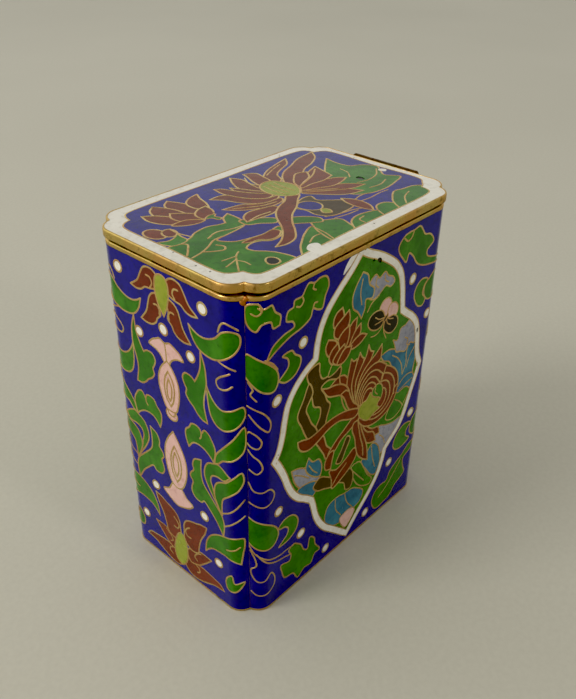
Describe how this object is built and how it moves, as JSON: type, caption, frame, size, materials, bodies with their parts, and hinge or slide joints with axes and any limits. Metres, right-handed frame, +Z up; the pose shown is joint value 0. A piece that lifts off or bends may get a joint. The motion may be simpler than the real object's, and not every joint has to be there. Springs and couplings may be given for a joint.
{
  "type": "cloisonne enamel box",
  "caption": "Tall rectangular cloisonne enamel box with double-lobed corners, a brass mouth rim and a flat enamelled lid that turns up on a barrel hinge at one short end.",
  "frame": {"origin": "centre of the underside of the body, on the surface the box stands on", "axes": "+Z up; X along the long faces, with the hinge on the +X end; Y across them, with the cartouche face towards -Y"},
  "size_m": [0.0638, 0.0398, 0.076],
  "materials": {
    "body_enamel": "polished cloisonne enamel on copper: cobalt ground with gilt wires, green leaves, brown-red flowers and a white-bordered cartouche",
    "lid_enamel": "polished cloisonne enamel on copper: cobalt ground with a white border, a brown chrysanthemum and green leaves",
    "gilt_brass": "worn gilt brass with fine scratches and dark spots",
    "dark_brass": "tarnished brass"
  },
  "bodies": {
    "box": {"body": "body_enamel", "mouth_rim": "gilt_brass", "hinge_knuckle_front": "dark_brass", "hinge_knuckle_back": "dark_brass", "hinge_pin": "dark_brass"},
    "lid": {"lid_panel": "lid_enamel", "lid_band": "gilt_brass", "hinge_knuckle_lid": "dark_brass"}
  },
  "joints": [
    {"name": "lid_hinge", "type": "hinge", "parent": "box", "child": "lid", "pos_m": [0.03195, 0, 0.0743], "axis": [0, 1, 0], "range_deg": [0, 180]}
  ]
}
